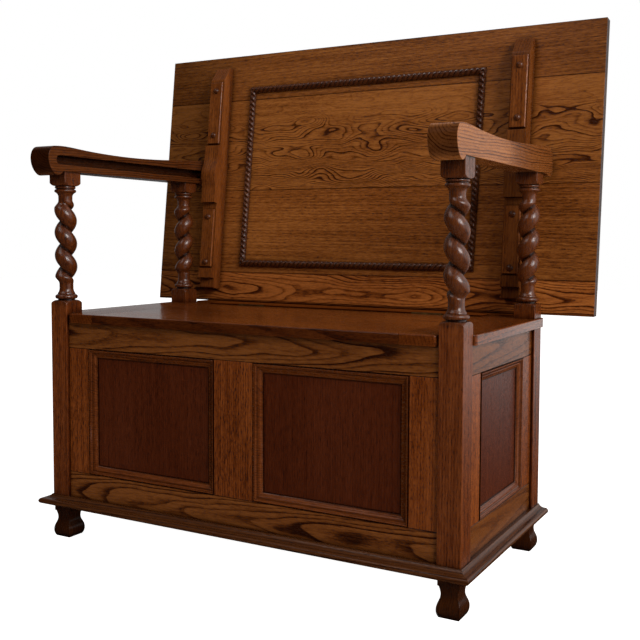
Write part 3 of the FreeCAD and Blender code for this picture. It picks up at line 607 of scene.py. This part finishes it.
board("batten_slips", TOP_S, EX, BATW, pith=0.02, off=0.12, ring=0.006, wild=0.004, contrast=0.4, tone=0.8)
board("batten_pegs", TOP_T, EX, DARK, ring=0.003, wild=0.002, rough=0.25, endg=0.0, spec=0.5)
board("pivot_pins", EX, EZ, DARK, ring=0.003, wild=0.002)
board("rope_moulding", EX, TOP_S, DARK, ring=0.004, wild=0.003, contrast=0.4, rough=0.30, grime=0.5, wear=0.5, spec=0.5, endg=0.0, nook=0.006, tone=0.88, crown=0.95)

# the chest's front
board("front_top_rail", EX, EZ, RAIL, pith=0.020, off=0.006, taper=0.035, ring=0.0048, wild=0.012, wild_scale=(3.4, 14, 14), contrast=1.6, detail=2.0, jit=0.0016, streak=1.2)
board("front_bottom_rail", EX, EZ, RAIL, pith=0.022, off=-0.006, taper=-0.045, ring=0.0050, wild=0.014, wild_scale=(3.6, 14, 14), contrast=1.7, detail=2.0, jit=0.0016, streak=1.2, tone=1.18)
for n in ("front_left_stile", "front_right_stile", "front_muntin"):
    board(n, EZ, EX, STILE, pith=0.03, off=0.16, taper=0.008, ring=0.0048, wild=0.003, contrast=0.40, fleck=0.9, streak=1.25)
for n in ("front_left_panel", "front_right_panel"):
    board(n, EZ, EX, PANEL, pith=0.05, off=0.25, taper=0.004, ring=0.0045, wild=0.004, contrast=0.16, streak=0.75, mottle=0.6, fleck=0.45, spec=0.14)


def rim_of(name, ax):
    lo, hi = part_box(name)
    return [(ax, lo[ax]), (ax, hi[ax]), (2, lo[2]), (2, hi[2])]


for s in ("left", "right"):
    n = "front_%s_moulding" % s
    board(n, EX, EZ, MOULD, pith=0.05, off=0.1, ring=0.004, wild=0.003, contrast=0.4, grime=0.95, fleck=0.4, rim=rim_of(n, 0))
# sides and back
for s in ("left", "right"):
    for r in ("top", "bottom"):
        board("%s_%s_rail" % (s, r), EY, EZ, RAIL, pith=0.03, off=0.01, taper=0.035, ring=0.0060, wild=0.010, contrast=0.8)
    for r in ("front", "rear"):
        board("%s_%s_stile" % (s, r), EZ, EY, STILE, pith=0.03, off=0.14, taper=0.008, ring=0.0048, wild=0.003, contrast=0.40, fleck=0.9, streak=1.25)
    board("%s_panel" % s, EZ, EY, PANEL, pith=0.05, off=0.25, taper=0.004, ring=0.0045, wild=0.004, contrast=0.16, streak=0.75, mottle=0.6, fleck=0.45, spec=0.14)
    n = "%s_moulding" % s
    board(n, EY, EZ, MOULD, pith=0.05, off=0.1, ring=0.004, wild=0.003, contrast=0.4, grime=0.95, fleck=0.4, rim=rim_of(n, 1))
    for r in ("front", "rear"):
        # painted shade: the front right post's lower tone (0.86)
        board("%s_%s_post" % (r, s), EZ, EX, POSTW, pith=0.03, off=0.09, taper=0.008, ring=0.0048, wild=0.003, contrast=0.45, streak=1.35, rough=0.26,
              grime=1.0, wear=0.08, spec=0.25, endg=0.0, nook=0.026, tone=0.86 if (r, s) == ("front", "right") else 1.0,
              fade=(0.050, 0.066, 0.58), fadec=(0.42, 0.45, 0.44), gloss=0.70, crown=0.75)
        board("%s_%s_foot" % (r, s), EZ, EX, DARK, pith=0.03, off=0.05, ring=0.004, wild=0.003, contrast=0.6, tone=0.46)
    # painted light and shade: the left arm's low tone (0.46) is painted shade, the right arm's high tone (1.40) painted
    # light, and its darker rear half painted shade
    board("%s_arm" % s, EY, EX, ARM if s == "right" else ARM_L, pith=0.03, off=0.02, taper=0.04, ring=0.0048, wild=0.010, wild_scale=(5.0, 18, 18), contrast=1.3, rough=0.28,
          grime=1.0, nook=0.030, detail=1.6, jit=0.0010, endc=(0.30, 0.26, 0.24), tone=1.40 if s == "right" else 0.46,
          fade=(-0.03, 0.03, 0.5) if s == "right" else None)
    board("plinth_%s" % s, EY, EZ, PLINTH, pith=0.03, off=0.05, ring=0.005, wild=0.004)
    board("seat_%s_end" % s, EY, EX, SEAT, pith=0.04, off=0.1, ring=0.006, wild=0.004, contrast=0.5, rough=0.18, bump=0.15, endg=0.75, half=None)
board("plinth_front", EX, EZ, PLINTH, pith=0.03, off=0.05, ring=0.005, wild=0.004)
for n in ("back_top_rail", "back_bottom_rail"):
    board(n, EX, EZ, RAIL, pith=0.03, off=0.01, taper=0.035, ring=0.0060, wild=0.010, contrast=0.8)
board("back_panel", EX, EZ, BACKW, pith=0.04, off=0.05, taper=0.05, ring=0.008, wild=0.012, rough=0.5)
board("chest_floor", EX, EY, INSIDE, pith=0.05, off=0.02, taper=0.04, ring=0.008, wild=0.012, rough=0.6)
board("floor_bearers", EX, EZ, INSIDE, pith=0.03, off=0.05, ring=0.005, wild=0.004, rough=0.6)
# seat
board("seat_lid", EX, EY, SEAT, pith=0.06, off=0.03, taper=0.05, ring=0.007, wild=0.008, contrast=0.6, rough=0.18, bump=0.15)
board("seat_back_strip", EX, EY, SEAT, pith=0.06, off=0.1, ring=0.006, wild=0.004, contrast=0.6, rough=0.7, spec=0.0, bump=0.15)
board("lid_cleats", EY, EX, INSIDE, pith=0.03, off=0.05, ring=0.005, wild=0.004, rough=0.6)
BRASS = brass("brass")
for n in ("lid_hinge_fixed_leaves", "lid_hinge_pins", "lid_hinge_fixed_screws", "lid_hinge_lid_leaves", "lid_hinge_lid_screws"):
    put(n, BRASS)

# ---------------------------------------------------------------- softened edges
SOFT = {}
for n in N:
    if n.startswith("lid_hinge") or n in OWN or n in ("pivot_pins", "batten_pegs", "seat_back_strip"):
        continue
    SOFT[n] = 0.0010
    if n.endswith("_arm"):
        SOFT[n] = 0.0026
    elif n.endswith("_foot"):
        SOFT[n] = 0.0020
    elif n.endswith("_moulding") or n.startswith("plinth"):
        SOFT[n] = 0.0005
    elif n.endswith("_batten"):
        SOFT[n] = 0.0016
    elif n == "batten_slips":
        SOFT[n] = 0.0008
    elif n.startswith("top_plank") or n in ("chest_floor", "floor_bearers"):
        SOFT[n] = 0.0006
for n, o in N.items():
    for p in o.data.polygons:
        p.use_smooth = True
    if n in SOFT:
        md = o.modifiers.new("weld", "WELD")
        md.merge_threshold = 0.00002
        md = o.modifiers.new("planes", "DECIMATE")
        md.decimate_type = "DISSOLVE"
        md.angle_limit = math.radians(0.6)
        md = o.modifiers.new("soft", "BEVEL")
        md.limit_method = "ANGLE"
        md.angle_limit = math.radians(35)
        md.width = SOFT[n]
        md.segments = 3 if SOFT[n] > 0.0015 else 2
        md.use_clamp_overlap = True
        md = o.modifiers.new("normals", "WEIGHTED_NORMAL")
        md.keep_sharp = False

# ---------------------------------------------------------------- floor, light, world
fm = bpy.data.meshes.new("floor")
fm.from_pydata([(-9, -9, 0), (9, -9, 0), (9, 9, 0), (-9, 9, 0)], [], [(0, 1, 2, 3)])
floor = bpy.data.objects.new("floor", fm)
scene.collection.objects.link(floor)
F = Tree("floor")
lp = F.node("ShaderNodeLightPath")
dif = F.node("ShaderNodeBsdfDiffuse")
dif.inputs["Color"].default_value = (0.90, 0.90, 0.90, 1)
emi = F.node("ShaderNodeEmission")
emi.inputs["Color"].default_value = (1, 1, 1, 1)
F.put(emi.inputs["Strength"], F.math("MULTIPLY", lp.outputs["Is Camera Ray"], 1.0))
add = F.node("ShaderNodeAddShader")
F.put(add.inputs[0], dif.outputs[0])
F.put(add.inputs[1], emi.outputs[0])
ftc = F.node("ShaderNodeTexCoord")
fsx = F.node("ShaderNodeSeparateXYZ")
F.put(fsx.inputs[0], ftc.outputs["Object"])
far = F.math("MULTIPLY_ADD", fsx.outputs[0], 0.6, F.math("MULTIPLY", fsx.outputs[1], 0.8))
dim = F.node("ShaderNodeEmission")
dim.inputs["Color"].default_value = (1, 1, 1, 1)
F.put(dim.inputs["Strength"], F.remap(far, 0.3, 3.4, 0.01, 0.75))
mxf = F.node("ShaderNodeMixShader")
F.put(mxf.inputs[0], lp.outputs["Is Glossy Ray"])
F.put(mxf.inputs[1], add.outputs[0])
F.put(mxf.inputs[2], dim.outputs[0])
fo = F.node("ShaderNodeOutputMaterial")
F.put(fo.inputs["Surface"], mxf.outputs[0])
fm.materials.append(F.mat)


def area(name, at, to, size, power, colour=(1, 1, 1)):
    d = bpy.data.lights.new(name, "AREA")
    d.shape = "RECTANGLE"
    d.size, d.size_y = size
    d.energy = power
    d.color = colour
    o = bpy.data.objects.new(name, d)
    scene.collection.objects.link(o)
    o.location = at
    o.rotation_euler = (Vector(to) - Vector(at)).to_track_quat("-Z", "Y").to_euler()
    return o


area("key", (5.0, -2.2, 3.3), (0, 0, 0.5), (2.6, 2.6), 190)
area("over", (-1.2, -2.6, 3.6), (0, 0, 0.4), (2.2, 1.6), 18)

world = bpy.data.worlds.new("studio")
scene.world = world
world.use_nodes = True
W = Tree.__new__(Tree)
W.nt = world.node_tree
W.nt.nodes.clear()
tc = W.node("ShaderNodeTexCoord")
sx = W.node("ShaderNodeSeparateXYZ")
W.put(sx.inputs[0], tc.outputs["Generated"])
back = W.remap(sx.outputs[1], -0.05, 0.50, 0.0, 0.34)
side = W.remap(W.math("MULTIPLY_ADD", sx.outputs[0], 0.8, W.math("MULTIPLY", sx.outputs[1], 0.6)), 0.30, 0.90, 0.0, 0.85)
above = W.remap(sx.outputs[2], 0.40, 0.95, 0.0, 0.12)
st = W.math("ADD", W.math("MAXIMUM", W.math("MAXIMUM", back, side), above), 0.012)
lpw = W.node("ShaderNodeLightPath")
st = W.math("MAXIMUM", st, W.math("MULTIPLY", lpw.outputs["Is Camera Ray"], 1.0))
bg = W.node("ShaderNodeBackground")
bg.inputs[0].default_value = (1, 1, 1, 1)
W.put(bg.inputs[1], st)
wo = W.node("ShaderNodeOutputWorld")
W.put(wo.inputs[0], bg.outputs[0])

scene.view_settings.view_transform = "Standard"
scene.view_settings.look = "None"
